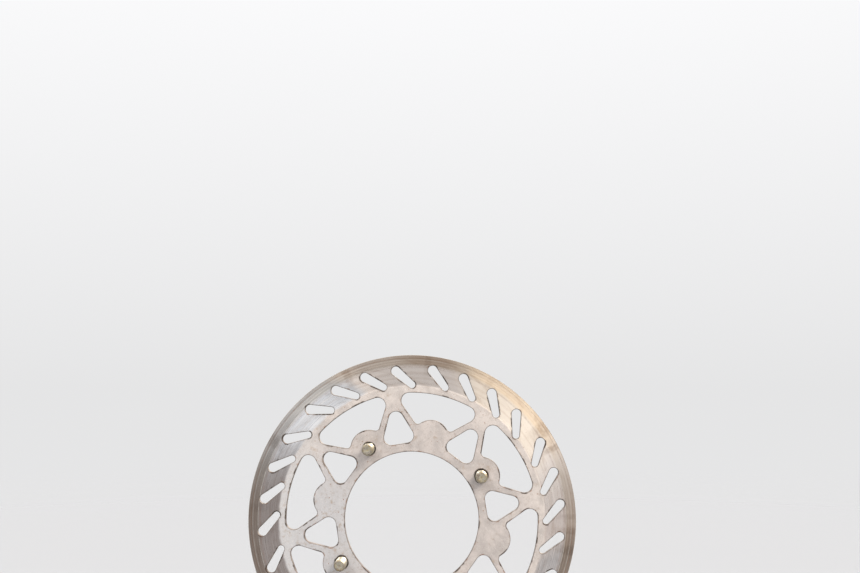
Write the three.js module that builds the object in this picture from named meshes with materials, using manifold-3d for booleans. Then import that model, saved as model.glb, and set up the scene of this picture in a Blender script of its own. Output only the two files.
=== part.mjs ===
// Front brake disc rotor of a small off-road motorcycle, with the four bolts and spring washers
// that clamp it to the wheel hub. Millimetres. The disc's axis lies along Y: the hub is on the -Y
// side, the bolt heads are on the +Y side, and the origin is on the axis in the disc's hub-side face.
import * as THREE from 'three';
import { mergeVertices } from 'three/addons/utils/BufferGeometryUtils.js';
import Module from 'manifold-3d';

const wasm = await Module();
wasm.setup();

// ---- driving dimensions ----

// Disc plate
const DISC_RADIUS = 110;
const BORE_RADIUS = 45;
const DISC_THICKNESS = 3.5;

// Lobes: eight round tabs on the inner ring; every second one takes a bolt
const LOBE_COUNT = 8;
const FIRST_LOBE_DEG = 31.6;
const LOBE_CENTRE_RADIUS = 55.3;
const LOBE_ROUND_RADIUS = 12.4;

// Large windows: one over each lobe, between the lobe and the friction ring
const WINDOW_OUTER_RADIUS = 84.6;
const WINDOW_CORNER_RADIUS = 5.4;
const WINDOW_CORNER_OFFSET = 20;
const VALLEY_RADIUS = 2.8;
const VALLEY_OFFSET = 11.3;

// Tear-shaped windows: one between each two lobes
const TEAR_ROUND_RADIUS = 5;
const TEAR_TOP_RADIUS = 72.7;
const TEAR_BOTTOM_RADIUS = 50.7;
const TEAR_HALF_WIDTH = 10.1;

// Slots in the friction ring: groups of four whose slots step inwards one after the other
const SLOT_GROUPS = 7;
const SLOTS_PER_GROUP = 4;
const FIRST_SLOT_DEG = 30.5;
const SLOT_PITCH_DEG = 12.36;
const SLOT_SLANT_DEG = 6.35;
const SLOT_OUTER_CENTRE = 100.7;
const SLOT_INNER_CENTRE = 90.9;
const SLOT_STEP_IN = 0.33;
const SLOT_OUTER_ROUND = 3.15;
const SLOT_INNER_ROUND = 2.3;

// Bolts: M8 button heads with a hexagon socket
const BOLT_COUNT = 4;
const BOLT_CIRCLE_RADIUS = 55;
const BOLT_HOLE_RADIUS = 4.4;
const BOLT_RADIUS = 4;
const BOLT_LENGTH = 20;
const BOLT_TIP_CHAMFER = 0.9;
const BOLT_TURN_DEG = 17;
const HEAD_RADIUS = 7;
const HEAD_HEIGHT = 4.4;
const HEAD_EDGE = 1;
const HEAD_CROWN_RADIUS = 3.6;
const SOCKET_ACROSS_FLATS = 5;
const SOCKET_DEPTH = 2.6;

// Split spring washers
const WASHER_INNER_RADIUS = 4.3;
const WASHER_OUTER_RADIUS = 7.1;
const WASHER_THICKNESS = 2;
const WASHER_GAP = 1.4;
const FIRST_WASHER_DEG = 40;
const WASHER_TURN_DEG = 71;

// Clearance between faces that are pressed together
const SEAT_GAP = 0.05;

// Fineness: straight steps in a whole circle, and the length of one step along an outline's arcs
const RIM_STEPS = 240;
const BORE_STEPS = 120;
const BOLT_HOLE_STEPS = 32;
const BOLT_STEPS = 36;
const WASHER_STEPS = 36;
const DOME_STEPS = 6;
const WINDOW_ARC_STEP = 1.3;
const TEAR_ARC_STEP = 1.2;
const SLOT_ARC_STEP = 0.95;
const SAME_POINT = 1e-4;

// ---- materials ----

const rotorSteel = new THREE.MeshStandardMaterial({ color: 0xb3a79e, roughness: 0.42, metalness: 0.85 });
const boltZinc = new THREE.MeshStandardMaterial({ color: 0xb09a68, roughness: 0.38, metalness: 0.9 });
const washerSteel = new THREE.MeshStandardMaterial({ color: 0x8f8d88, roughness: 0.4, metalness: 0.9 });

// ---- helpers ----

const radians = THREE.MathUtils.degToRad;

// A point at a radius and an angle from the centre of the disc, turned anticlockwise from +X.
function polar(radius, degrees) {
  return { x: radius * Math.cos(radians(degrees)), y: radius * Math.sin(radians(degrees)) };
}

// A closed outline that runs round a chain of pulleys like a belt. Each pulley is { x, y, r }: a
// positive r is passed anticlockwise, a negative r clockwise. Neighbours that touch join there,
// others join by their common tangent.
function belt(pulleys, arcStep, turnDegrees = 0) {
  const legs = pulleys.map((from, i) => {
    const to = pulleys[(i + 1) % pulleys.length];
    const dx = to.x - from.x;
    const dy = to.y - from.y;
    const lean = THREE.MathUtils.clamp((from.r - to.r) / Math.hypot(dx, dy), -1, 1);
    return Math.atan2(dy, dx) + Math.asin(lean);
  });
  const turn = radians(turnDegrees);
  const points = [];
  pulleys.forEach((pulley, i) => {
    const start = legs[(i + pulleys.length - 1) % pulleys.length];
    const way = Math.sign(pulley.r);
    let sweep = (legs[i] - start) * way;
    sweep -= 2 * Math.PI * Math.floor(sweep / (2 * Math.PI));
    const steps = Math.max(2, Math.round((sweep * Math.abs(pulley.r)) / arcStep));
    for (let k = 0; k <= steps; k += 1) {
      const heading = start + (way * sweep * k) / steps;
      const point = new THREE.Vector2(
        pulley.x + pulley.r * Math.sin(heading),
        pulley.y - pulley.r * Math.cos(heading),
      );
      points.push(point.rotateAround(new THREE.Vector2(), turn));
    }
  });
  const apart = points.filter((p, i) => p.distanceTo(points[(i + 1) % points.length]) > SAME_POINT);
  return new THREE.Path(apart);
}

// A round hole or a full circle as an outline of straight steps.
function circle(x, y, radius, steps) {
  const points = [];
  for (let k = 0; k < steps; k += 1) {
    const angle = (2 * Math.PI * k) / steps;
    points.push(new THREE.Vector2(x + radius * Math.cos(angle), y + radius * Math.sin(angle)));
  }
  return points;
}

// A flat plate with the outline drawn as seen from -Y, filling y from near to far.
function plate(shape, near, far) {
  const geometry = new THREE.ExtrudeGeometry(shape, { depth: far - near, bevelEnabled: false });
  geometry.rotateX(Math.PI / 2);
  geometry.translate(0, far, 0);
  return geometry;
}

function toSolid(geometry) {
  const bare = geometry.clone();
  bare.deleteAttribute('normal');
  bare.deleteAttribute('uv');
  const merged = mergeVertices(bare, SAME_POINT);
  return new wasm.Manifold(new wasm.Mesh({
    numProp: 3,
    vertProperties: new Float32Array(merged.attributes.position.array),
    triVerts: new Uint32Array(merged.index.array),
  }));
}

function toGeometry(solid) {
  const mesh = solid.getMesh();
  const geometry = new THREE.BufferGeometry();
  geometry.setAttribute('position', new THREE.BufferAttribute(mesh.vertProperties, 3));
  geometry.setIndex(new THREE.BufferAttribute(mesh.triVerts, 1));
  geometry.computeVertexNormals();
  return geometry;
}

// ---- outlines in the disc ----

// The large window over a lobe: the friction ring's inner arc, two round corners, two slanted
// sides, and the lobe's round top standing up between two small valleys.
function windowOutline(turnDegrees) {
  const cornerReach = WINDOW_OUTER_RADIUS - WINDOW_CORNER_RADIUS;
  const cornerHeight = Math.sqrt(cornerReach ** 2 - WINDOW_CORNER_OFFSET ** 2);
  const valleyReach = LOBE_ROUND_RADIUS + VALLEY_RADIUS;
  const valleyHeight = LOBE_CENTRE_RADIUS + Math.sqrt(valleyReach ** 2 - VALLEY_OFFSET ** 2);
  return belt([
    { x: 0, y: 0, r: WINDOW_OUTER_RADIUS },
    { x: -WINDOW_CORNER_OFFSET, y: cornerHeight, r: WINDOW_CORNER_RADIUS },
    { x: -VALLEY_OFFSET, y: valleyHeight, r: VALLEY_RADIUS },
    { x: 0, y: LOBE_CENTRE_RADIUS, r: -LOBE_ROUND_RADIUS },
    { x: VALLEY_OFFSET, y: valleyHeight, r: VALLEY_RADIUS },
    { x: WINDOW_CORNER_OFFSET, y: cornerHeight, r: WINDOW_CORNER_RADIUS },
  ], WINDOW_ARC_STEP, turnDegrees - 90);
}

function tearOutline(turnDegrees) {
  const side = TEAR_HALF_WIDTH - TEAR_ROUND_RADIUS;
  const low = TEAR_BOTTOM_RADIUS + TEAR_ROUND_RADIUS;
  const high = TEAR_TOP_RADIUS - TEAR_ROUND_RADIUS;
  return belt([
    { x: 0, y: high, r: TEAR_ROUND_RADIUS },
    { x: -side, y: low, r: TEAR_ROUND_RADIUS },
    { x: side, y: low, r: TEAR_ROUND_RADIUS },
  ], TEAR_ARC_STEP, turnDegrees - 90);
}

function slotOutline(group, place) {
  const outerDegrees = FIRST_SLOT_DEG + (360 / SLOT_GROUPS) * group - SLOT_PITCH_DEG * place;
  const stepIn = SLOT_STEP_IN * place;
  const outer = polar(SLOT_OUTER_CENTRE - stepIn, outerDegrees);
  const inner = polar(SLOT_INNER_CENTRE - stepIn, outerDegrees - SLOT_SLANT_DEG);
  return belt([{ ...outer, r: SLOT_OUTER_ROUND }, { ...inner, r: SLOT_INNER_ROUND }], SLOT_ARC_STEP);
}

// ---- pieces ----

function rotorGeometry() {
  const shape = new THREE.Shape(circle(0, 0, DISC_RADIUS, RIM_STEPS));
  shape.holes.push(new THREE.Path(circle(0, 0, BORE_RADIUS, BORE_STEPS)));
  for (let k = 0; k < LOBE_COUNT; k += 1) {
    const lobeDegrees = FIRST_LOBE_DEG + (360 / LOBE_COUNT) * k;
    shape.holes.push(windowOutline(lobeDegrees));
    shape.holes.push(tearOutline(lobeDegrees + 180 / LOBE_COUNT));
  }
  for (let group = 0; group < SLOT_GROUPS; group += 1) {
    for (let place = 0; place < SLOTS_PER_GROUP; place += 1) {
      shape.holes.push(slotOutline(group, place));
    }
  }
  for (let k = 0; k < BOLT_COUNT; k += 1) {
    const centre = polar(BOLT_CIRCLE_RADIUS, FIRST_LOBE_DEG + (360 / BOLT_COUNT) * k);
    shape.holes.push(new THREE.Path(circle(centre.x, centre.y, BOLT_HOLE_RADIUS, BOLT_HOLE_STEPS)));
  }
  return plate(shape, 0, DISC_THICKNESS);
}

// A bolt along Y: its tip points to -Y and its head's underside is at y = 0.
function boltGeometry() {
  const tipWidth = BOLT_RADIUS - BOLT_TIP_CHAMFER;
  const profile = [
    new THREE.Vector2(0, -BOLT_LENGTH),
    new THREE.Vector2(tipWidth, -BOLT_LENGTH),
    new THREE.Vector2(BOLT_RADIUS, -BOLT_LENGTH + BOLT_TIP_CHAMFER),
    new THREE.Vector2(BOLT_RADIUS, 0),
    new THREE.Vector2(HEAD_RADIUS, 0),
  ];
  for (let k = 0; k <= DOME_STEPS; k += 1) {
    const angle = (Math.PI / 2) * (k / DOME_STEPS);
    profile.push(new THREE.Vector2(
      HEAD_CROWN_RADIUS + (HEAD_RADIUS - HEAD_CROWN_RADIUS) * Math.cos(angle),
      HEAD_EDGE + (HEAD_HEIGHT - HEAD_EDGE) * Math.sin(angle),
    ));
  }
  profile.push(new THREE.Vector2(0, HEAD_HEIGHT));
  const body = toSolid(new THREE.LatheGeometry(profile, BOLT_STEPS));
  const cornerRadius = SOCKET_ACROSS_FLATS / Math.sqrt(3);
  const cutter = new THREE.CylinderGeometry(cornerRadius, cornerRadius, 2 * SOCKET_DEPTH, 6);
  cutter.translate(0, HEAD_HEIGHT, 0);
  return toGeometry(body.subtract(toSolid(cutter)));
}

// A flat split ring round the Y axis whose gap faces +X, with its -Y face at y = 0.
function washerGeometry() {
  const outerHalf = Math.asin(WASHER_GAP / 2 / WASHER_OUTER_RADIUS);
  const innerHalf = Math.asin(WASHER_GAP / 2 / WASHER_INNER_RADIUS);
  const points = [];
  const addArc = (radius, from, to) => {
    for (let k = 0; k <= WASHER_STEPS; k += 1) {
      const angle = from + ((to - from) * k) / WASHER_STEPS;
      points.push(new THREE.Vector2(radius * Math.cos(angle), radius * Math.sin(angle)));
    }
  };
  addArc(WASHER_OUTER_RADIUS, outerHalf, 2 * Math.PI - outerHalf);
  addArc(WASHER_INNER_RADIUS, 2 * Math.PI - innerHalf, innerHalf);
  return plate(new THREE.Shape(points), 0, WASHER_THICKNESS);
}

// ---- assembly ----

const assembly = new THREE.Group();

const rotor = new THREE.Mesh(rotorGeometry(), rotorSteel);
rotor.name = 'rotor_disc';
assembly.add(rotor);

const washerSeat = DISC_THICKNESS + SEAT_GAP;
const headSeat = washerSeat + WASHER_THICKNESS + SEAT_GAP;
for (let k = 0; k < BOLT_COUNT; k += 1) {
  const degrees = FIRST_LOBE_DEG + (360 / BOLT_COUNT) * k;
  const centre = polar(BOLT_CIRCLE_RADIUS, degrees);

  // Bolts stop at different angles when they are tight, and washers lie as they fall.
  const bolt = new THREE.Mesh(boltGeometry(), boltZinc);
  bolt.name = `disc_bolt_${k + 1}`;
  bolt.position.set(centre.x, headSeat, centre.y);
  bolt.rotation.y = radians(degrees + BOLT_TURN_DEG * k);
  assembly.add(bolt);

  const washer = new THREE.Mesh(washerGeometry(), washerSteel);
  washer.name = `spring_washer_${k + 1}`;
  washer.position.set(centre.x, washerSeat, centre.y);
  washer.rotation.y = radians(FIRST_WASHER_DEG + WASHER_TURN_DEG * k);
  assembly.add(washer);
}

export default assembly;
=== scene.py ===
"""Looks of a motorcycle brake disc rotor with its four bolts and spring washers.

Everything is in metres in the frame of the CAD model: the disc's axis lies along Y, the hub side
is -Y, and the origin is on the axis in the disc's hub-side face. Outlines, sizes and places are
read from the CAD nodes; the constants below hold only what the CAD model leaves out.
"""

import math

import bmesh
import bpy
import numpy as np
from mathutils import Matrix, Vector
from mathutils.geometry import delaunay_2d_cdt


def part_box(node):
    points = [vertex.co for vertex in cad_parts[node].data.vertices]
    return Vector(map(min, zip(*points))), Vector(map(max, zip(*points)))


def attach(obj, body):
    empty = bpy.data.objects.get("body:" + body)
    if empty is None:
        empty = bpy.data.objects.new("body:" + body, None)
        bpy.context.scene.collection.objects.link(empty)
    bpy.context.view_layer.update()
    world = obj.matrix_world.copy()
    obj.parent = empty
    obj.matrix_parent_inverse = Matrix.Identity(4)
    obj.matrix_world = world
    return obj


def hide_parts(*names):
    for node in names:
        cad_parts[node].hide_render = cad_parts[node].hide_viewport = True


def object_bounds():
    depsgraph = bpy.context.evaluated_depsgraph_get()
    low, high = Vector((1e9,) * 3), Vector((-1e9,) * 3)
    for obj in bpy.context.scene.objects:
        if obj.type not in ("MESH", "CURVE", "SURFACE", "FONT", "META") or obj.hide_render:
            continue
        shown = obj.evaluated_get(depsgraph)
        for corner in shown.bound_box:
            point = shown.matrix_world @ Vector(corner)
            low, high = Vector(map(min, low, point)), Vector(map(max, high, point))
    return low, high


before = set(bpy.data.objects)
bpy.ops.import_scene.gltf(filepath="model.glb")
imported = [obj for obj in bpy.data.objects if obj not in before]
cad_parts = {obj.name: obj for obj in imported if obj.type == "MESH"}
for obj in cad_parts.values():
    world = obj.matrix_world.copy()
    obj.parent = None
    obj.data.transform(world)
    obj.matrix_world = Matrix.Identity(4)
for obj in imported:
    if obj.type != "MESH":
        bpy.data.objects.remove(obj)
cad_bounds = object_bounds()

MM = 0.001
ROTOR = "rotor_disc"
BOLTS = [f"disc_bolt_{k}" for k in (1, 2, 3, 4)]
WASHERS = [f"spring_washer_{k}" for k in (1, 2, 3, 4)]

# Disc edges: a small round on every edge, and a band beside it that the cutting heat coloured
EDGE_ROUND = 0.3 * MM
EDGE_BAND = 0.8 * MM
EDGE_STEPS = 3

# Outlines: arcs are refined to this turn per step, and longer edges than this are straight sides
ARC_TURN = math.radians(6)
STRAIGHT_SIDE = 1.8 * MM
NORMAL_REACH = 0.3 * MM

# Wear of the two faces, as radii and depths: the pads have worn a shallow track and left ridges
TRACK_INNER = 89.7 * MM
TRACK_OUTER = 103.2 * MM
TRACK_DEPTH = 0.10 * MM
TRACK_SHOULDER = 2.2 * MM
RIDGE_PITCH = 1.55 * MM
RIDGE_DEPTH = 0.035 * MM
RIM_START = 108.2 * MM
RING_SEGMENTS = 300

# M8 thread and bolt head
THREAD_PITCH = 1.25 * MM
THREAD_RADIUS = 3.95 * MM
THREAD_DEPTH = 0.62 * MM
THREAD_ROWS = 10
TIP_CHAMFER = 0.9 * MM
SEAT_GAP = 0.05 * MM
HEAD_EDGE = 1.0 * MM
HEAD_EDGE_ROUND = 0.35 * MM
HEAD_CROWN_RADIUS = 3.7 * MM
SOCKET_FLATS = 5 * MM
SOCKET_DEPTH = 2.6 * MM
SOCKET_LEAD_IN = 3.15 * MM
LEAD_IN_SLOPE = 0.6
CENTRE_HOLE = 0.03 * MM
BOLT_COLUMNS = 60

# Spring washer section
WASHER_ROUND = 0.3 * MM
WASHER_COLUMNS = 64
WASHER_SLANT = 0.1


# ---------------------------------------------------------------- outlines of the disc

def face_outlines(node):
    """Closed outlines of the CAD node's lowest-Y face, as arrays of (x, z) with metal on the left."""
    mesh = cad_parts[node].data
    points = np.array([v.co for v in mesh.vertices])
    low = points[:, 1].min()
    keys = [tuple(np.round(p[[0, 2]], 7)) for p in points]
    edges = set()
    for polygon in mesh.polygons:
        corners = list(polygon.vertices)
        if max(points[corners, 1]) > low + 1e-6:
            continue
        loop = [keys[c] for c in corners]
        edges.update(zip(loop, loop[1:] + loop[:1]))
    return chain({a: b for a, b in edges if (b, a) not in edges})


def chain(following):
    """Splits a map from each point to the next into closed outlines."""
    outlines = []
    while following:
        start, point = following.popitem()
        outline = [start]
        while point != start:
            outline.append(point)
            point = following.pop(point)
        outlines.append(np.array(outline))
    return sorted(outlines, key=lambda o: -np.ptp(o[:, 0]))


def edges_of(outline):
    """Direction and length of the edge that follows each point."""
    after = np.roll(outline, -1, axis=0) - outline
    length = np.linalg.norm(after, axis=1)
    return after / length[:, None], length


def refined(outline):
    """The outline with its arcs in finer steps, on curves that pass through its own points."""
    after, length = edges_of(outline)
    straight = length > STRAIGHT_SIDE
    tangent = after + np.roll(after, 1, axis=0)
    tangent[straight] = after[straight]
    follows_straight = np.roll(straight, 1)
    tangent[follows_straight] = np.roll(after, 1, axis=0)[follows_straight]
    tangent /= np.linalg.norm(tangent, axis=1)[:, None]
    fine = []
    for k, start in enumerate(outline):
        end = outline[(k + 1) % len(outline)]
        leave, arrive = tangent[k] * length[k], tangent[(k + 1) % len(outline)] * length[k]
        turn = math.acos(min(1.0, leave @ arrive / length[k] ** 2))
        steps = 1 if straight[k] else max(1, round(turn / ARC_TURN))
        for t in np.arange(steps) / steps:
            bend = (t - t * t) * ((1 - t) * (leave - (end - start)) - t * (arrive - (end - start)))
            fine.append(start + t * (end - start) + bend)
    return np.array(fine)


def outward(outline):
    """For each point, the direction out of the metal, from a chord that steps over close neighbours."""
    length = edges_of(outline)[1]
    along = np.concatenate([[0.0], np.cumsum(length)])
    closed = np.vstack([outline, outline[:1]])

    def at(distance):
        place = distance % along[-1]
        return np.stack([np.interp(place, along, closed[:, i]) for i in (0, 1)], axis=1)

    chord = at(along[:-1] + NORMAL_REACH) - at(along[:-1] - NORMAL_REACH)
    normal = np.stack([chord[:, 1], -chord[:, 0]], axis=1)
    return normal / np.linalg.norm(normal, axis=1)[:, None]


def inside(outlines, points):
    """True for each point that lies inside an odd number of the outlines."""
    odd = np.zeros(len(points), bool)
    for outline in outlines:
        a, b = outline, np.roll(outline, -1, axis=0)
        low, high = outline.min(0), outline.max(0)
        near = np.all((points >= low) & (points <= high), axis=1).nonzero()[0]
        for (ax, ay), (bx, by) in zip(a, b):
            if ay == by:
                continue
            x, y = points[near, 0], points[near, 1]
            crosses = ((ay > y) != (by > y)) & (x < (bx - ax) * (y - ay) / (by - ay) + ax)
            odd[near[crosses]] ^= True
    return odd


# ---------------------------------------------------------------- wear profile

def step(value, low, high):
    t = np.clip((value - low) / (high - low), 0, 1)
    return t * t * (3 - 2 * t)


def wear(radius):
    """Depth of the worn face below the new one at each radius."""
    half = TRACK_SHOULDER / 2
    track = step(radius, TRACK_INNER - half, TRACK_INNER + half)
    hollow = track * (1 - 0.75 * step(radius, TRACK_OUTER - half, TRACK_OUTER + half))
    bowl = 0.2 * np.sin(np.pi * np.clip((radius - TRACK_INNER) / (TRACK_OUTER - TRACK_INNER), 0, 1))
    ridged = step(radius, TRACK_OUTER, TRACK_OUTER + half) * (1 - step(radius, RIM_START, RIM_START + half))
    ridges = 0.5 - 0.5 * np.cos(2 * np.pi * (radius - TRACK_OUTER) / RIDGE_PITCH)
    rim = 1 - step(radius, RIM_START, RIM_START + half)
    return TRACK_DEPTH * (hollow + bowl * track) * rim + RIDGE_DEPTH * ridges * ridged


def wear_slope(radius):
    delta = 0.01 * MM
    return (wear(radius + delta) - wear(radius - delta)) / (2 * delta)


def profile_radii():
    """Radii of the rings of vertices that carry the wear profile."""
    shoulder = TRACK_INNER + TRACK_SHOULDER * np.linspace(-0.6, 0.6, 5)
    track = np.linspace(TRACK_INNER + TRACK_SHOULDER, TRACK_OUTER - TRACK_SHOULDER, 5)
    ridges = np.arange(TRACK_OUTER - TRACK_SHOULDER / 2, RIM_START + TRACK_SHOULDER / 2, RIDGE_PITCH / 5)
    return np.concatenate([shoulder, track, ridges])


# ---------------------------------------------------------------- meshes

def new_piece(name, mesh, node):
    piece = bpy.data.objects.new(name, mesh)
    bpy.context.scene.collection.objects.link(piece)
    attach(piece, "root")
    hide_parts(node)
    return piece


def triangulated_face(outlines):
    """Points and triangles of the flat face inside the outlines, with rings at the profile radii."""
    points, edges = [], []
    rings = []
    for radius in profile_radii():
        angles = np.arange(RING_SEGMENTS) * 2 * np.pi / RING_SEGMENTS
        rings.append(radius * np.stack([np.cos(angles), np.sin(angles)], axis=1))
    for loop in list(outlines) + rings:
        first = len(points)
        count = len(loop)
        points.extend(Vector(p / MM) for p in loop)
        edges.extend((first + k, first + (k + 1) % count) for k in range(count))
    made = delaunay_2d_cdt(points, edges, [], 0, 5e-4)
    flat = np.array([tuple(p) for p in made[0]]) * MM
    triangles = np.array([list(f) for f in made[2]])
    centres = flat[triangles].mean(axis=1)
    return flat, triangles[inside(outlines, centres)]


def boundary_loops(triangles):
    """Closed loops of point numbers round the triangles, with the metal on the left."""
    edges = set()
    for a, b, c in triangles.tolist():
        edges.update(((a, b), (b, c), (c, a)))
    following = {a: b for a, b in edges if (b, a) not in edges}
    loops = []
    while following:
        start, point = following.popitem()
        loop = [start]
        while point != start:
            loop.append(point)
            point = following.pop(point)
        loops.append(loop)
    return loops


# Material slots of the disc
WEB, TRACK, CUT_EDGE, RIM_EDGE = range(4)


def rotor_mesh(name):
    """The disc: worn faces, rounded edges and straight cut walls, with exact normals on every vertex."""
    low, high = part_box(ROTOR)
    thickness = high.y - low.y
    outer_radius = high.x
    edges = [refined(o) for o in face_outlines(ROTOR)]
    band = [o - outward(o) * (EDGE_ROUND + EDGE_BAND) for o in edges]
    flat, triangles = triangulated_face(band)
    used = np.unique(triangles)
    number = {int(old): new for new, old in enumerate(used)}
    flat = flat[used]
    triangles = np.vectorize(number.get)(triangles)

    radius = np.linalg.norm(flat, axis=1)
    in_track = np.linalg.norm(flat[triangles].mean(axis=1), axis=1) > TRACK_INNER
    slope = (wear_slope(radius) / radius)[:, None] * flat
    count = len(flat)
    coords, normals, edge, faces, kinds = [], [], [], [], []
    for side, base in ((-1, 0.0), (1, thickness)):
        y = base - side * wear(radius)
        coords.append(np.stack([flat[:, 0], y, flat[:, 1]], axis=1))
        normals.append(np.stack([slope[:, 0], np.full(count, float(side)), slope[:, 1]], axis=1))
        edge.append(np.zeros(count))
        turn = triangles if side < 0 else triangles[:, ::-1]
        faces.extend((turn + (0 if side < 0 else count)).tolist())
        kinds.extend(np.where(in_track, TRACK, WEB).tolist())

    total = 2 * count
    for loop in boundary_loops(triangles):
        outline = flat[loop]
        normal = outward(outline)
        is_rim = np.linalg.norm(outline, axis=1).min() > outer_radius - 2 * (EDGE_ROUND + EDGE_BAND)
        rows = [np.array(loop)]
        sunk = wear(np.linalg.norm(outline + normal * EDGE_BAND, axis=1))
        turns = np.linspace(0, math.pi / 2, EDGE_STEPS + 1)
        profile = [(EDGE_BAND + EDGE_ROUND * math.sin(t), EDGE_ROUND * (1 - math.cos(t)), t) for t in turns]
        for side in (-1, 1):
            steps = profile if side < 0 else profile[::-1]
            for reach, drop, turn in steps:
                place = outline + normal * reach
                y = sunk + drop if side < 0 else thickness - sunk - drop
                coords.append(np.stack([place[:, 0], y, place[:, 1]], axis=1))
                out = math.sin(turn)
                face_on = np.full(len(loop), side * math.cos(turn))
                normals.append(np.stack([normal[:, 0] * out, face_on, normal[:, 1] * out], axis=1))
                edge.append(np.full(len(loop), 0.0 if is_rim else 1.0))
                rows.append(np.arange(total, total + len(loop)))
                total += len(loop)
        rows.append(np.array(loop) + count)
        middle = (outline + np.roll(outline, -1, axis=0)) / 2
        face_kind = np.where(np.linalg.norm(middle, axis=1) > TRACK_INNER, TRACK, WEB)
        cut_kind = np.full(len(loop), RIM_EDGE if is_rim else CUT_EDGE)
        row_kinds = [face_kind] + [cut_kind] * (2 * EDGE_STEPS + 1) + [face_kind]
        for upper, lower, kind in zip(rows, rows[1:], row_kinds):
            for k in range(len(loop)):
                after = (k + 1) % len(loop)
                faces.append([int(upper[after]), int(upper[k]), int(lower[k]), int(lower[after])])
            kinds.extend(kind.tolist())

    mesh = bpy.data.meshes.new(name)
    mesh.from_pydata(np.concatenate(coords).tolist(), [], faces)
    mesh.polygons.foreach_set("material_index", kinds)
    mesh.polygons.foreach_set("use_smooth", [True] * len(faces))
    attribute = mesh.attributes.new("edge", "FLOAT", "POINT")
    attribute.data.foreach_set("value", np.concatenate(edge).astype(np.float32))
    mesh.validate()
    all_normals = np.concatenate(normals)
    all_normals /= np.linalg.norm(all_normals, axis=1)[:, None]
    mesh.normals_split_custom_set_from_vertices(all_normals.tolist())
    return mesh


def lathe_rows(rows, angles):
    """Vertices and quads of rings of (radius, y, hollow); radius and y may be functions of the angle.

    A vertex is (x, y, z, hollow), where hollow says how deep in a groove it lies, from 0 to 1.
    """
    coords, faces = [], []
    for radius, y, hollow in rows:
        for angle in angles:
            r = radius(angle) if callable(radius) else radius
            h = y(angle) if callable(y) else y
            coords.append((r * math.cos(angle), h, r * math.sin(angle), hollow))
    columns = len(angles)
    for row in range(len(rows) - 1):
        for k in range(columns):
            after = (k + 1) % columns
            a, b = row * columns, (row + 1) * columns
            faces.append((a + k, b + k, b + after, a + after))
    return coords, faces


def quarter_turn(steps):
    """Pairs of (sine, cosine) over the first quarter of a circle."""
    return [(math.sin(t), math.cos(t)) for t in np.linspace(0, math.pi / 2, steps + 1)]


def socket_corner(node, centre):
    """The angle of one corner of the bolt's hexagon socket, read from the CAD bolt."""
    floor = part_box(node)[1].y - SOCKET_DEPTH
    corner_radius = SOCKET_FLATS / math.sqrt(3)
    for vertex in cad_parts[node].data.vertices:
        x, z = vertex.co.x - centre.x, vertex.co.z - centre.z
        on_floor = abs(vertex.co.y - floor) < 0.02 * MM
        if on_floor and abs(math.hypot(x, z) - corner_radius) < 0.05 * MM:
            return math.atan2(z, x)
    raise ValueError(f"{node} has no hexagon socket {SOCKET_DEPTH / MM} mm deep")


def head_rows(seat, top, head_radius, corner):
    """Rings of the button head, from the thread round the outside to the bottom of its socket."""
    def hexagon(angle):
        across = (angle - corner) % (math.pi / 3) - math.pi / 6
        return SOCKET_FLATS / 2 / math.cos(across)

    def lead_in(angle):
        return top - LEAD_IN_SLOPE * (SOCKET_LEAD_IN - hexagon(angle))

    rows = [(THREAD_RADIUS, seat, 0.5)]
    for sine, cosine in quarter_turn(3):
        inset = HEAD_EDGE_ROUND * (1 - sine)
        rows.append((head_radius - inset, seat + HEAD_EDGE_ROUND * (1 - cosine), 0.0))
    dome = head_radius - HEAD_CROWN_RADIUS
    dome_low = seat + HEAD_EDGE
    for sine, cosine in quarter_turn(14):
        rows.append((HEAD_CROWN_RADIUS + dome * cosine, dome_low + (top - dome_low) * sine, 0.0))
    floor = top - SOCKET_DEPTH
    rows.append((SOCKET_LEAD_IN, top, 0.0))
    rows.append((hexagon, lead_in, 0.2))
    rows.append((hexagon, floor, 0.9))
    rows.append((SOCKET_FLATS / 4, floor - 0.3 * MM, 1.0))
    rows.append((CENTRE_HOLE, floor - 0.5 * MM, 1.0))
    return rows


def thread_rows(tip, seat, angles):
    """Vertices and quads of the shank. Rows follow the right-hand thread, so each keeps one depth."""
    columns = len(angles)
    row_count = int((seat - tip) / THREAD_PITCH * THREAD_ROWS) + 2 * THREAD_ROWS
    coords, faces = [], []
    for row in range(row_count):
        phase = (row % THREAD_ROWS) / THREAD_ROWS
        flank = min(1.0, max(0.0, (abs(phase - 0.5) * 2 - 0.16) / 0.68))
        for column in range(columns + 1):
            along = THREAD_PITCH * (row / THREAD_ROWS - column / columns)
            y = min(max(tip + along, tip), seat)
            run_out = min(1.0, (seat - y) / (1.5 * THREAD_PITCH))
            chamfer = THREAD_RADIUS - max(0.0, TIP_CHAMFER - (y - tip))
            r = min(THREAD_RADIUS - THREAD_DEPTH * flank * run_out, chamfer)
            angle = angles[column % columns]
            coords.append((r * math.cos(angle), y, r * math.sin(angle), flank * run_out))
    wide = columns + 1
    for row in range(row_count - 1):
        for column in range(columns):
            a = row * wide + column
            faces.append((a, a + 1, a + wide + 1, a + wide))
    return coords, faces


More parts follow.
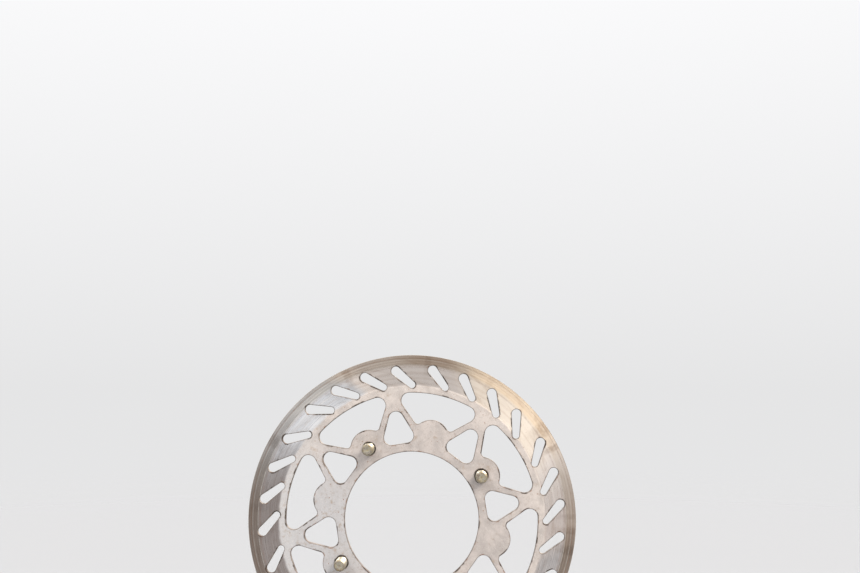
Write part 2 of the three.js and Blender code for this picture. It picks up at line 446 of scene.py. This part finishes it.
def bolt_mesh(node, centre):
    """A button-head bolt with a rolled thread and a countersunk hexagon socket, round the Y axis."""
    low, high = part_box(node)
    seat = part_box(node.replace("disc_bolt", "spring_washer"))[1].y + SEAT_GAP
    corner = socket_corner(node, centre)
    angles = [corner + 2 * math.pi * k / BOLT_COLUMNS for k in range(BOLT_COLUMNS)]
    head = head_rows(seat, high.y, (high.x - low.x) / 2, corner)
    end = [
        (THREAD_RADIUS - TIP_CHAMFER, low.y, 0.0),
        (SOCKET_FLATS / 4, low.y, 0.1),
        (CENTRE_HOLE, low.y + 0.25 * MM, 0.8),
    ]
    work = bmesh.new()
    layer = work.verts.layers.float.new("hollow")
    parts = (lathe_rows(head, angles), thread_rows(low.y, seat, angles), lathe_rows(end, angles))
    for coords, faces in parts:
        verts = []
        for x, y, z, hollow in coords:
            verts.append(work.verts.new((x + centre.x, y, z + centre.z)))
            verts[-1][layer] = hollow
        for face in faces:
            work.faces.new([verts[i] for i in face])
    bmesh.ops.remove_doubles(work, verts=work.verts, dist=0.003 * MM)
    bmesh.ops.dissolve_degenerate(work, edges=work.edges, dist=0.002 * MM)
    bmesh.ops.holes_fill(work, edges=[e for e in work.edges if e.is_boundary], sides=0)
    bmesh.ops.recalc_face_normals(work, faces=work.faces)
    return finished(work, node, 32)


def finished(work, node, sharp_degrees):
    """Turns a bmesh into a smooth-shaded mesh with sharp edges where the surface turns quickly."""
    mesh = bpy.data.meshes.new(node + "_fine")
    work.to_mesh(mesh)
    work.free()
    mesh.polygons.foreach_set("use_smooth", [True] * len(mesh.polygons))
    mesh.set_sharp_from_angle(angle=math.radians(sharp_degrees))
    return mesh


def washer_section(inner, outer, low, high):
    """The square section of the washer wire with rounded corners, as (radius, y)."""
    section = []
    for corner in range(4):
        r = inner + WASHER_ROUND if corner in (0, 3) else outer - WASHER_ROUND
        y = low + WASHER_ROUND if corner in (0, 1) else high - WASHER_ROUND
        for k in range(4):
            t = math.pi + (corner + k / 3) * math.pi / 2
            section.append((r + WASHER_ROUND * math.cos(t), y + WASHER_ROUND * math.sin(t)))
    return section


def washer_mesh(node, centre):
    """A squeezed split washer round the Y axis, with slanted ends where the CAD ring is open."""
    low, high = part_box(node)
    vertices = np.array([v.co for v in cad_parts[node].data.vertices])
    flat = vertices[:, [0, 2]] - (centre.x, centre.z)
    radii = np.linalg.norm(flat, axis=1)
    angles = np.sort(np.arctan2(flat[:, 1], flat[:, 0]))
    gaps = np.diff(np.append(angles, angles[0] + 2 * math.pi))
    widest = int(gaps.argmax())
    first = angles[(widest + 1) % len(angles)]
    sweep = 2 * math.pi - gaps[widest]
    section = washer_section(radii.min(), radii.max(), low.y, high.y)
    middle = (low.y + high.y) / 2
    work = bmesh.new()
    rings = []
    for k in range(WASHER_COLUMNS + 1):
        share = k / WASHER_COLUMNS
        slant = WASHER_SLANT * abs(2 * share - 1) ** 6
        ring = []
        for r, y in section:
            angle = first + sweep * share + slant * (y - middle) / (high.y - low.y)
            ring.append(work.verts.new((centre.x + r * math.cos(angle), y, centre.z + r * math.sin(angle))))
        rings.append(ring)
    count = len(section)
    for before, after in zip(rings, rings[1:]):
        for k in range(count):
            beside = (k + 1) % count
            work.faces.new((before[k], after[k], after[beside], before[beside]))
    work.faces.new(rings[0])
    work.faces.new(rings[-1][::-1])
    bmesh.ops.recalc_face_normals(work, faces=work.faces)
    return finished(work, node, 40)


# ---------------------------------------------------------------- materials

class Graph:
    """A material under construction. Each method adds nodes and returns the socket that comes out."""

    def __init__(self, name):
        self.material = bpy.data.materials.new(name)
        self.material.use_nodes = True
        self.tree = self.material.node_tree
        self.tree.nodes.clear()
        place = self.node("TexCoord").outputs["Object"]
        self.place = self.vector("SCALE", place, scale=1 / MM)

    def node(self, kind, **settings):
        node = self.tree.nodes.new("ShaderNode" + kind)
        for key, value in settings.items():
            setattr(node, key, value)
        return node

    def plug(self, socket, value):
        if isinstance(value, bpy.types.NodeSocket):
            self.tree.links.new(value, socket)
        elif value is not None:
            socket.default_value = value

    def math(self, operation, a, b=None, c=None):
        node = self.node("Math", operation=operation)
        for socket, value in zip(node.inputs, (a, b, c)):
            self.plug(socket, value)
        return node.outputs[0]

    def vector(self, operation, a, b=None, scale=None):
        node = self.node("VectorMath", operation=operation)
        self.plug(node.inputs[0], a)
        self.plug(node.inputs[1], b)
        if scale is not None:
            node.inputs["Scale"].default_value = scale
        return node.outputs["Value" if operation in ("LENGTH", "DOT_PRODUCT") else "Vector"]

    def combine(self, x, y, z):
        node = self.node("CombineXYZ")
        for socket, value in zip(node.inputs, (x, y, z)):
            self.plug(socket, value)
        return node.outputs[0]

    def split(self, vector):
        node = self.node("SeparateXYZ")
        self.plug(node.inputs[0], vector)
        return node.outputs

    def noise(self, place, scale, detail=2.0, roughness=0.5, distortion=0.0):
        node = self.node("TexNoise")
        for name, value in (
            ("Vector", place), ("Scale", scale), ("Detail", detail),
            ("Roughness", roughness), ("Distortion", distortion),
        ):
            self.plug(node.inputs[name], value)
        return node.outputs["Fac"]

    def ramp(self, value, low, high, to_low=0.0, to_high=1.0, smooth=True):
        node = self.node("MapRange", interpolation_type="SMOOTHSTEP" if smooth else "LINEAR")
        for socket, number in zip(node.inputs, (value, low, high, to_low, to_high)):
            self.plug(socket, number)
        return node.outputs[0]

    def mix(self, share, a, b, blend="MIX"):
        node = self.node("Mix", data_type="RGBA", blend_type=blend)
        colours = [s for s in node.inputs if s.type == "RGBA"]
        self.plug(node.inputs[0], share)
        for socket, value in zip(colours, (a, b)):
            self.plug(socket, value if isinstance(value, bpy.types.NodeSocket) else (*value, 1.0))
        return [s for s in node.outputs if s.type == "RGBA"][0]

    def colours(self, value, stops):
        """A colour ramp over one turn. Each stop is (degrees, colour), from 0 to 360 degrees."""
        node = self.node("ValToRGB")
        self.plug(node.inputs[0], value)
        elements = node.color_ramp.elements
        elements[0].color = (*stops[0][1], 1.0)
        elements[1].color = (*stops[-1][1], 1.0)
        for degrees, colour in stops[1:-1]:
            elements.new(degrees / 360).color = (*colour, 1.0)
        return node.outputs["Color"]

    def bump(self, height, depth, normal=None):
        """Depth is in metres; height runs from 0 to 1."""
        node = self.node("Bump")
        self.plug(node.inputs["Height"], height)
        self.plug(node.inputs["Distance"], depth)
        self.plug(node.inputs["Normal"], normal)
        return node.outputs[0]

    def finish(self, colour, roughness, metallic, normal=None, tangent=None, constants=None):
        shader = self.node("BsdfPrincipled")
        for name, value in (
            ("Base Color", colour), ("Roughness", roughness), ("Metallic", metallic),
            ("Normal", normal), ("Tangent", tangent),
        ):
            if isinstance(value, tuple):
                value = (*value, 1.0)
            self.plug(shader.inputs[name], value)
        for name, value in (constants or {}).items():
            shader.inputs[name].default_value = value
        output = self.node("OutputMaterial")
        self.tree.links.new(shader.outputs[0], output.inputs["Surface"])
        return self.material


def round_place(g):
    """Radius from the disc's axis in mm, unit direction from it, and the angle as a share of a turn."""
    x, _, z = g.split(g.place)
    flat = g.combine(x, 0.0, z)
    turn = g.math("FRACT", g.math("DIVIDE", g.math("ARCTAN2", z, x), 2 * math.pi))
    return g.vector("LENGTH", flat), g.vector("NORMALIZE", flat), turn


def toward(g, direction, degrees, width):
    """1 where the direction from the axis points to this angle, falling to 0 at width degrees from it."""
    angle = math.radians(degrees)
    aim = (math.cos(angle), 0.0, math.sin(angle))
    alike = g.vector("DOT_PRODUCT", direction, aim)
    return g.ramp(alike, math.cos(math.radians(width)), 1.0)


# Linear colours: the web inside the ring, the pad track, the rim outside it, and marks on all three
WEB_COLOUR = (0.54, 0.485, 0.45)
WEB_SHADE = (0.42, 0.38, 0.355)
WEB_LIGHT = (0.66, 0.61, 0.575)
WEB_COOL = (0.50, 0.495, 0.50)
WEB_STAIN = (0.36, 0.27, 0.19)
INNER_WEB_TINT = (0.93, 0.93, 0.94)
TRACK_DARK = (0.31, 0.27, 0.255)
TRACK_GREY = (0.40, 0.38, 0.38)
TRACK_BROWN = (0.64, 0.56, 0.52)
TRACK_TAN = (0.74, 0.66, 0.61)
TRACK_PINK = (0.90, 0.80, 0.73)
TRACK_STRAW = (1.0, 0.865, 0.725)
TRACK_SILVER = (0.65, 0.665, 0.70)
RIM_STRAW = (0.98, 0.90, 0.79)
RIM_PALE = (0.88, 0.86, 0.82)
RIM_TAN = (0.75, 0.71, 0.65)
RIM_BROWN = (0.61, 0.53, 0.45)
RIM_GREY = (0.70, 0.67, 0.63)
RIM_DARK = (0.54, 0.51, 0.48)
RUST = (0.24, 0.11, 0.05)
BURNT = (0.07, 0.055, 0.045)
# Painted highlight along the rim's ridges
RIDGE_HIGHLIGHT = (0.95, 0.91, 0.86)
# Walls of the windows, slots and bore, and the outer wall of the rim
CUT_LIGHT = (0.25, 0.215, 0.19)
CUT_DARK = (0.11, 0.092, 0.08)
RIM_WALL_LIGHT = (0.25, 0.215, 0.185)
RIM_WALL_DARK = (0.16, 0.135, 0.115)

# Heat and dirt on the pad track, with painted reflections: the light straw and silver fans, repeated half a
# turn round, are painted highlights, and the dark part at the left is a painted dark reflection. Angle in
# degrees from +X toward +Z, and the steel's tint there
TRACK_TINTS_AND_REFLECTIONS = (
    (0, TRACK_BROWN), (10, TRACK_TAN), (21, TRACK_PINK), (33, TRACK_STRAW), (62, TRACK_STRAW),
    (74, TRACK_TAN), (88, TRACK_TAN), (105, TRACK_TAN), (112, TRACK_PINK), (117, TRACK_SILVER),
    (146, TRACK_SILVER), (157, TRACK_GREY), (170, TRACK_DARK), (206, TRACK_DARK), (226, TRACK_TAN),
    (250, TRACK_STRAW), (268, TRACK_BROWN), (296, TRACK_SILVER), (318, TRACK_SILVER), (326, TRACK_GREY),
    (344, TRACK_GREY), (354, TRACK_BROWN), (360, TRACK_BROWN),
)
# The rim outside the track, as a shade over the track's own tint; its straw and pale fans are painted
# reflections that follow the track's painted highlights
RIM_TINTS_AND_REFLECTIONS = (
    (0, RIM_TAN), (9, RIM_TAN), (21, RIM_PALE), (34, RIM_STRAW), (62, RIM_STRAW), (71, RIM_TAN),
    (78, RIM_BROWN), (88, RIM_BROWN), (98, RIM_TAN), (112, RIM_GREY), (124, RIM_TAN), (138, RIM_GREY),
    (150, RIM_DARK), (165, RIM_TAN), (190, RIM_TAN), (215, RIM_TAN), (250, RIM_STRAW), (275, RIM_BROWN),
    (300, RIM_PALE), (330, RIM_TAN), (343, RIM_BROWN), (352, RIM_BROWN), (360, RIM_TAN),
)
# Thin rings on the rim: radius and half width in mm, strength, and colour; the rust ones are stains and the
# light ones are painted highlights on the ridges
RIM_LINES = (
    (108.0, 0.45, 0.65, RUST), (102.1, 0.9, 0.4, RUST), (105.9, 0.3, 0.15, RUST),
    (103.4, 0.4, 0.6, RIDGE_HIGHLIGHT), (107.0, 0.35, 0.35, RIDGE_HIGHLIGHT), (109.4, 0.45, 0.12, RUST),
)
# Painted dark reflections, dark streaks straight across the ring: angle, half width in degrees, and strength
DARK_REFLECTION_STREAKS = (
    (34, 3.5, 0.5), (60, 1.8, 0.2), (26.5, 1.5, 0.5), (114.5, 2.0, 0.4), (84, 1.6, 0.3), (1, 1.3, 0.3),
    (-4, 1.6, 0.35), (-11, 2.2, 0.35), (151, 3.0, 0.4), (176, 2.0, 0.2), (214, 2.2, 0.4), (247, 1.8, 0.4),
    (283, 2.4, 0.3), (311, 1.9, 0.4), (334, 2.3, 0.3),
)


def dark_reflection_mask(g, direction):
    """The strongest painted dark reflection streak at this direction from the axis, from 0 to 1."""
    mask = 0.0
    for degrees, width, strength in DARK_REFLECTION_STREAKS:
        streak = g.math("MULTIPLY", toward(g, direction, degrees, width), strength)
        mask = g.math("MAXIMUM", streak, mask)
    return mask


def scratches(g, degrees, shift):
    """Short thin scratches that lie at this angle to X, as a share from 0 to 1."""
    x, _, z = g.split(g.place)
    angle = math.radians(degrees)
    flat = g.combine(x, 0.0, z)
    along = g.vector("DOT_PRODUCT", flat, (0.09 * math.cos(angle), 0.0, 0.09 * math.sin(angle)))
    across = g.vector("DOT_PRODUCT", flat, (-2.4 * math.sin(angle), 0.0, 2.4 * math.cos(angle)))
    place = g.combine(g.math("ADD", along, shift), 0.0, across)
    return g.ramp(g.noise(place, 1.0, 2.0, 0.6), 0.60, 0.70, 0.0, 0.55)


def web_colour(g, radius, direction):
    """Inside the ring: ground warm grey with cloudy stains, a mottled grain and short fine scratches."""
    cloud = g.noise(g.place, 0.07, 3.0, 0.6)
    mottle = g.noise(g.place, 0.32, 4.0, 0.72)
    grain = g.noise(g.place, 1.7, 3.0, 0.7)
    colour = g.mix(g.ramp(cloud, 0.36, 0.66), WEB_COLOUR, WEB_SHADE)
    # Painted reflection: the left side of the web is painted a cooler grey
    colour = g.mix(g.math("MULTIPLY", toward(g, direction, 188, 60), 0.9), colour, WEB_COOL)
    colour = g.mix(g.ramp(mottle, 0.48, 0.68, 0.0, 0.75), colour, WEB_SHADE)
    colour = g.mix(g.ramp(mottle, 0.44, 0.32, 0.0, 0.45), colour, WEB_LIGHT)
    colour = g.mix(g.ramp(grain, 0.50, 0.68, 0.0, 0.65), colour, WEB_LIGHT)
    stain = g.noise(g.place, 0.16, 4.0, 0.7)
    colour = g.mix(g.ramp(stain, 0.56, 0.70, 0.0, 0.5), colour, WEB_STAIN)
    colour = g.mix(scratches(g, -52.0, 40.0), colour, WEB_LIGHT)
    colour = g.mix(scratches(g, 34.0, 0.0), colour, WEB_SHADE)
    inner = g.mix(1.0, colour, INNER_WEB_TINT, "MULTIPLY")
    return g.mix(g.ramp(radius, 86.0, 68.0), colour, inner)


def track_colour(g, radius, direction, turn, fine):
    """The friction ring: fine rings whose tint changes round the disc as heat colour and painted reflection,
    painted dark reflection streaks, and a duller ridged rim with painted highlights on its ridges.
    """
    drift = g.noise(g.vector("SCALE", direction, scale=4.0), 1.0, 3.0, 0.6)
    wander = g.ramp(drift, 0.0, 1.0, -0.012, 0.012, False)
    lean = g.math("MULTIPLY", g.math("SUBTRACT", radius, 97.0), -0.0012)
    # Heat tint round the ring, with painted highlight fans and a painted dark reflection at the left
    colour = g.colours(g.math("ADD", g.math("ADD", turn, wander), lean), TRACK_TINTS_AND_REFLECTIONS)
    shade = g.mix(1.0, colour, (0.66, 0.58, 0.52), "MULTIPLY")
    light = g.mix(0.5, colour, (1.0, 0.95, 0.90))
    ring_place = g.combine(radius, 0.0, 0.0)
    broad = g.noise(g.vector("ADD", ring_place, g.vector("SCALE", direction, scale=0.8)), 0.5, 2.0, 0.5)
    round_ring = g.vector("SCALE", direction, scale=9.0)
    patch_place = g.vector("ADD", g.vector("SCALE", ring_place, scale=0.25), round_ring)
    patches = g.noise(patch_place, 1.0, 3.0, 0.6)
    # The dark part at the left, a painted dark reflection, is smoother, with softer rings
    soft = g.ramp(toward(g, direction, 176, 50), 0.0, 1.0, 1.0, 0.45)
    colour = g.mix(g.math("MULTIPLY", g.ramp(fine, 0.42, 0.68, 0.0, 0.36), soft), colour, light)
    colour = g.mix(g.ramp(broad, 0.5, 0.66, 0.0, 0.25), colour, shade)
    colour = g.mix(g.ramp(patches, 0.5, 0.7, 0.0, 0.4), colour, shade)

    in_rim = g.ramp(radius, TRACK_OUTER / MM - 0.9, TRACK_OUTER / MM + 0.3)
    # Rim tint round the ring, with painted reflection fans
    rim_shade = g.colours(g.math("ADD", turn, wander), RIM_TINTS_AND_REFLECTIONS)
    colour = g.mix(in_rim, colour, g.mix(1.0, colour, rim_shade, "MULTIPLY"))
    ragged = g.noise(g.place, 0.5, 3.0, 0.6)
    reach = g.math("MULTIPLY", g.ramp(radius, 94.0, 105.0, 0.2, 1.0), g.ramp(ragged, 0.3, 0.6, 0.45, 1.0))
    # Painted dark reflections: dark streaks across the ring
    dark_reflections = g.math("MULTIPLY", dark_reflection_mask(g, direction), reach)
    colour = g.mix(dark_reflections, colour, g.mix(1.0, colour, (0.42, 0.35, 0.30), "MULTIPLY"))
    rough_turn = g.noise(g.vector("SCALE", direction, scale=26.0), 1.0, 4.0, 0.7)
    # Thin rings: rust stains, and painted highlights along the ridges
    for ring, half_width, strength, line_colour in RIM_LINES:
        off_ring = g.math("ABSOLUTE", g.math("SUBTRACT", radius, ring))
        line = g.ramp(off_ring, 0.0, half_width, 1.0, 0.0)
        line = g.math("MULTIPLY", line, g.ramp(rough_turn, 0.38, 0.6, 0.4 * strength, strength))
        colour = g.mix(line, colour, g.mix(0.7, colour, line_colour))
    return colour


def disc_face_material(name, anisotropic):
    """Ground steel: dull on the web, polished in rings by the pads, tinted by heat and by painted reflections
    round the ring, rusty in spots.
    """
    g = Graph(name)
    radius, direction, turn = round_place(g)
    uneven = g.noise(g.vector("SCALE", direction, scale=12.0), 1.0, 3.0, 0.6)
    uneven = g.ramp(uneven, 0.0, 1.0, -0.9, 0.9, False)
    in_track = g.ramp(g.math("ADD", radius, uneven), TRACK_INNER / MM - 1.4, TRACK_INNER / MM + 0.8)
    ring_place = g.vector("ADD", g.combine(radius, 0.0, 0.0), g.vector("SCALE", direction, scale=1.3))
    fine = g.noise(ring_place, 2.6, 4.0, 0.75)
    colour = g.mix(in_track, web_colour(g, radius, direction), track_colour(g, radius, direction, turn, fine))

    # Rust specks, and the heat-darkened line beside the cut edges
    speck = g.noise(g.place, 0.8, 2.0, 0.6)
    patch = g.noise(g.place, 0.05, 1.0, 0.5)
    specks = g.math("MULTIPLY", g.ramp(speck, 0.64, 0.72), g.ramp(patch, 0.38, 0.54))
    specks = g.math("MULTIPLY", specks, g.ramp(in_track, 0.0, 1.0, 0.95, 0.25))
    colour = g.mix(specks, colour, RUST)
    edge = g.node("Attribute", attribute_name="edge").outputs["Fac"]
    ragged = g.noise(g.place, 0.9, 3.0, 0.7)
    stretch = g.noise(g.place, 0.11, 2.0, 0.5)
    thin = g.math("MULTIPLY", g.ramp(edge, 0.65, 1.0), g.ramp(ragged, 0.38, 0.60, 0.25, 0.8))
    thick = g.math("MULTIPLY", g.ramp(edge, 0.05, 0.6), g.ramp(ragged, 0.35, 0.55, 0.45, 1.0))
    thick = g.math("MULTIPLY", thick, g.ramp(stretch, 0.52, 0.60))
    stain_noise = g.noise(g.place, 0.28, 2.0, 0.5)
    stain = g.math("MULTIPLY", g.ramp(edge, 0.0, 0.7), g.ramp(stain_noise, 0.54, 0.68, 0.0, 0.75))
    colour = g.mix(stain, colour, RUST)
    colour = g.mix(g.math("MAXIMUM", thin, thick), colour, BURNT)

    roughness = g.ramp(in_track, 0.0, 1.0, 0.56, 0.30)
    roughness = g.math("ADD", roughness, g.ramp(fine, 0.3, 0.7, -0.05, 0.06))
    # The straw-coloured part is slightly hazier, which spreads the highlight over it
    hazy = g.math("MULTIPLY", toward(g, direction, 48, 34), in_track)
    roughness = g.math("ADD", roughness, g.math("MULTIPLY", hazy, 0.05))
    roughness = g.math("ADD", roughness, g.math("MULTIPLY", specks, 0.3))
    metallic = g.ramp(in_track, 0.0, 1.0, 0.8, 1.0)
    grain = g.noise(g.place, 1.8, 3.0, 0.65)
    lines = g.bump(g.math("MULTIPLY", fine, in_track), 0.010 * MM)
    normal = g.bump(grain, 0.008 * MM, lines)
    tangent = g.node("Tangent", direction_type="RADIAL", axis="Y").outputs[0]
    return g.finish(colour, roughness, metallic, normal, tangent, {"Anisotropic": anisotropic})


def cut_edge_material(name, colour, shade, metallic, burnt, depth):
    """A cut wall through the sheet: fine lines this deep straight across it, scorched patches and rust."""
    g = Graph(name)
    x, y, z = g.split(g.place)
    across = g.combine(x, g.math("MULTIPLY", y, 0.12), z)
    lines = g.noise(across, 2.6, 3.0, 0.7)
    patches = g.noise(g.place, 0.35, 3.0, 0.6)
    stretch = g.noise(g.place, 0.11, 2.0, 0.5)
    clean = g.mix(g.ramp(lines, 0.3, 0.7), shade, colour)
    scorched = g.mix(1.0, clean, (0.42, 0.36, 0.32), "MULTIPLY")
    tint = g.mix(g.ramp(stretch, 0.50, 0.60, 0.0, burnt), clean, scorched)
    tint = g.mix(g.ramp(patches, 0.58, 0.74, 0.0, 0.4), tint, RUST)
    roughness = g.ramp(patches, 0.3, 0.7, 0.55, 0.75)
    return g.finish(tint, roughness, metallic, g.bump(lines, depth) if depth else None)


def bolt_material():
    """Yellow zinc plating, dulled to grey on the high spots, with brown dirt in the thread and socket."""
    g = Graph("bolt_zinc")
    cloud = g.noise(g.place, 0.35, 3.0, 0.6)
    fine = g.noise(g.place, 2.2, 3.0, 0.6)
    tint = g.mix(g.ramp(cloud, 0.38, 0.62), (0.43, 0.375, 0.25), (0.43, 0.405, 0.35))
    tint = g.mix(g.ramp(fine, 0.5, 0.75, 0.0, 0.6), tint, (0.58, 0.55, 0.48))
    hollow = g.node("Attribute", attribute_name="hollow").outputs["Fac"]
    dirt = g.math("MULTIPLY", g.ramp(hollow, 0.15, 0.8), g.ramp(fine, 0.30, 0.55, 0.95, 0.5))
    pits = g.math("MULTIPLY", g.ramp(fine, 0.58, 0.48), g.ramp(cloud, 0.5, 0.64, 0.0, 0.7))
    tint = g.mix(g.math("MAXIMUM", dirt, pits), tint, (0.16, 0.10, 0.06))
    roughness = g.ramp(fine, 0.3, 0.7, 0.30, 0.48)
    roughness = g.math("ADD", roughness, g.math("MULTIPLY", dirt, 0.25))
    return g.finish(tint, roughness, 1.0, g.bump(fine, 0.02 * MM))


def washer_material():
    """Dull plated spring steel with a fine grain and a little dirt."""
    g = Graph("washer_steel")
    fine = g.noise(g.place, 1.8, 3.0, 0.6)
    tint = g.mix(g.ramp(fine, 0.35, 0.7), (0.50, 0.49, 0.46), (0.33, 0.31, 0.28))
    return g.finish(tint, g.ramp(fine, 0.3, 0.7, 0.34, 0.52), 1.0, g.bump(fine, 0.02 * MM))


# ---------------------------------------------------------------- pieces

def add_rotor():
    mesh = rotor_mesh("rotor_disc_fine")
    piece = new_piece("rotor_disc_fine", mesh, ROTOR)
    mesh.materials.append(disc_face_material("disc_web", 0.0))
    mesh.materials.append(disc_face_material("disc_track", 0.75))
    mesh.materials.append(cut_edge_material("disc_cut_edge", CUT_LIGHT, CUT_DARK, 0.6, 1.0, 0.05 * MM))
    mesh.materials.append(cut_edge_material("disc_rim_edge", RIM_WALL_LIGHT, RIM_WALL_DARK, 0.2, 0.0, 0.0))
    return piece


def add_fasteners():
    plating, spring_steel = bolt_material(), washer_material()
    for bolt, washer in zip(BOLTS, WASHERS):
        low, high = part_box(bolt)
        centre = (low + high) / 2
        for node, make, slot, material in (
            (bolt, bolt_mesh, "bolt_zinc", plating),
            (washer, washer_mesh, "washer_steel", spring_steel),
        ):
            mesh = make(node, centre)
            mesh.materials.append(material)
            new_piece(node + "_fine", mesh, node)


# ---------------------------------------------------------------- stage, lights and camera

FLOOR_RADIUS = 2.2
BACKDROP_LOW = (0.785, 0.785, 0.79)
BACKDROP_HIGH = (0.97, 0.97, 0.98)
BACKDROP_HIGH_AT = 0.35
FLOOR_COLOUR = (0.206, 0.211, 0.220)

# What the metal reflects, from straight down (0) to straight up (1): the horizon is dimmer
SKY_BOTTOM = (0.9, 0.9, 0.9)
SKY_TOP = (1.2, 1.2, 1.22)
SKY_BANDS = ((0.36, 0.95), (0.47, 0.62), (0.53, 0.62), (0.66, 1.05))

# Softboxes, the same on both sides of the disc: x, distance along y and z, spread, strength, colour
SOFTBOXES = {
    "left": (-0.55, 0.62, 0.75, 17.0, 1.7, (0.96, 0.98, 1.0)),
    "right": (0.60, 0.60, 0.74, 24.0, 4.8, (1.0, 0.935, 0.855)),
}

LENS = 48.14
CAMERA_PLACE = (0.0334, -0.7815, 0.0883)
CAMERA_DOWN_TILT = 5.0
CAMERA_TURN = 1.54


def add_floor():
    """A round pale floor that fades into the backdrop before its edge."""
    g = Graph("floor")
    x, y, _ = g.split(g.place)
    distance = g.vector("LENGTH", g.combine(x, y, 0.0))
    edge_mm = FLOOR_RADIUS / MM
    fade = g.ramp(distance, 0.35 * edge_mm, 0.95 * edge_mm)
    g.finish(FLOOR_COLOUR, 1.0, 0.0, constants={"Specular IOR Level": 0.0})
    shader = next(n for n in g.tree.nodes if n.type == "BSDF_PRINCIPLED")
    output = next(n for n in g.tree.nodes if n.type == "OUTPUT_MATERIAL")
    clear = g.node("BsdfTransparent")
    blend = g.node("MixShader")
    g.plug(blend.inputs[0], fade)
    g.plug(blend.inputs[1], shader.outputs[0])
    g.plug(blend.inputs[2], clear.outputs[0])
    g.plug(output.inputs["Surface"], blend.outputs[0])
    work = bmesh.new()
    bmesh.ops.create_circle(work, cap_ends=True, segments=96, radius=FLOOR_RADIUS)
    mesh = bpy.data.meshes.new("floor")
    work.to_mesh(mesh)
    work.free()
    floor = bpy.data.objects.new("floor", mesh)
    floor.location.z = cad_bounds[0].z
    mesh.materials.append(g.material)
    bpy.context.scene.collection.objects.link(floor)


def add_world():
    """A pale backdrop, lighter to the top; what the metal reflects is a soft sky over a dimmer horizon."""
    world = bpy.data.worlds.new("studio")
    bpy.context.scene.world = world
    world.use_nodes = True
    tree = world.node_tree
    tree.nodes.clear()

    def node(kind, **settings):
        made = tree.nodes.new("ShaderNode" + kind)
        for key, value in settings.items():
            setattr(made, key, value)
        return made

    place = node("TexCoord")
    split = node("SeparateXYZ")
    tree.links.new(place.outputs["Generated"], split.inputs[0])
    sky = node("ValToRGB")
    lift = node("MapRange")
    tree.links.new(split.outputs["Z"], lift.inputs[0])
    for socket, value in zip(lift.inputs[1:], (-1.0, 1.0, 0.0, 1.0)):
        socket.default_value = value
    tree.links.new(lift.outputs[0], sky.inputs[0])
    ramp = sky.color_ramp
    ramp.interpolation = "EASE"
    ramp.elements[0].position = 0.0
    ramp.elements[0].color = (*SKY_BOTTOM, 1)
    ramp.elements[1].position = 1.0
    ramp.elements[1].color = (*SKY_TOP, 1)
    for position, value in SKY_BANDS:
        made = ramp.elements.new(position)
        made.color = (value, value, value, 1)
    seen = node("Background")
    backdrop = node("ValToRGB")
    tree.links.new(split.outputs["Z"], backdrop.inputs[0])
    backdrop.color_ramp.elements[0].color = (*BACKDROP_LOW, 1)
    backdrop.color_ramp.elements[1].color = (*BACKDROP_HIGH, 1)
    backdrop.color_ramp.elements[1].position = BACKDROP_HIGH_AT
    tree.links.new(backdrop.outputs[0], seen.inputs[0])
    lit = node("Background")
    tree.links.new(sky.outputs[0], lit.inputs[0])
    path = node("LightPath")
    blend = node("MixShader")
    tree.links.new(path.outputs["Is Camera Ray"], blend.inputs[0])
    tree.links.new(lit.outputs[0], blend.inputs[1])
    tree.links.new(seen.outputs[0], blend.inputs[2])
    output = node("OutputWorld")
    tree.links.new(blend.outputs[0], output.inputs[0])


def add_light(name, place, spread, strength, colour):
    """A distant softbox: even light from one direction over a cone of this many degrees."""
    data = bpy.data.lights.new(name, "SUN")
    data.angle = math.radians(spread)
    data.energy = strength
    data.color = colour
    light = bpy.data.objects.new(name, data)
    light.location = place
    light.rotation_mode = "QUATERNION"
    light.rotation_quaternion = (-Vector(place)).to_track_quat("-Z", "Y")
    bpy.context.scene.collection.objects.link(light)


def add_lights():
    for side, back in ((-1, "front"), (1, "back")):
        for name, (x, y, z, spread, strength, colour) in SOFTBOXES.items():
            add_light(f"softbox_{name}_{back}", (x, y * side, z), spread, strength, colour)


def add_camera():
    data = bpy.data.cameras.new("camera")
    data.sensor_width = 36.0
    data.lens = LENS
    camera = bpy.data.objects.new("camera", data)
    camera.location = CAMERA_PLACE
    camera.rotation_euler = (math.radians(90 + CAMERA_DOWN_TILT), 0.0, math.radians(CAMERA_TURN))
    bpy.context.scene.collection.objects.link(camera)
    bpy.context.scene.camera = camera


add_rotor()
add_fasteners()
add_floor()
add_world()
add_lights()
add_camera()
bpy.context.scene.view_settings.view_transform = "Standard"
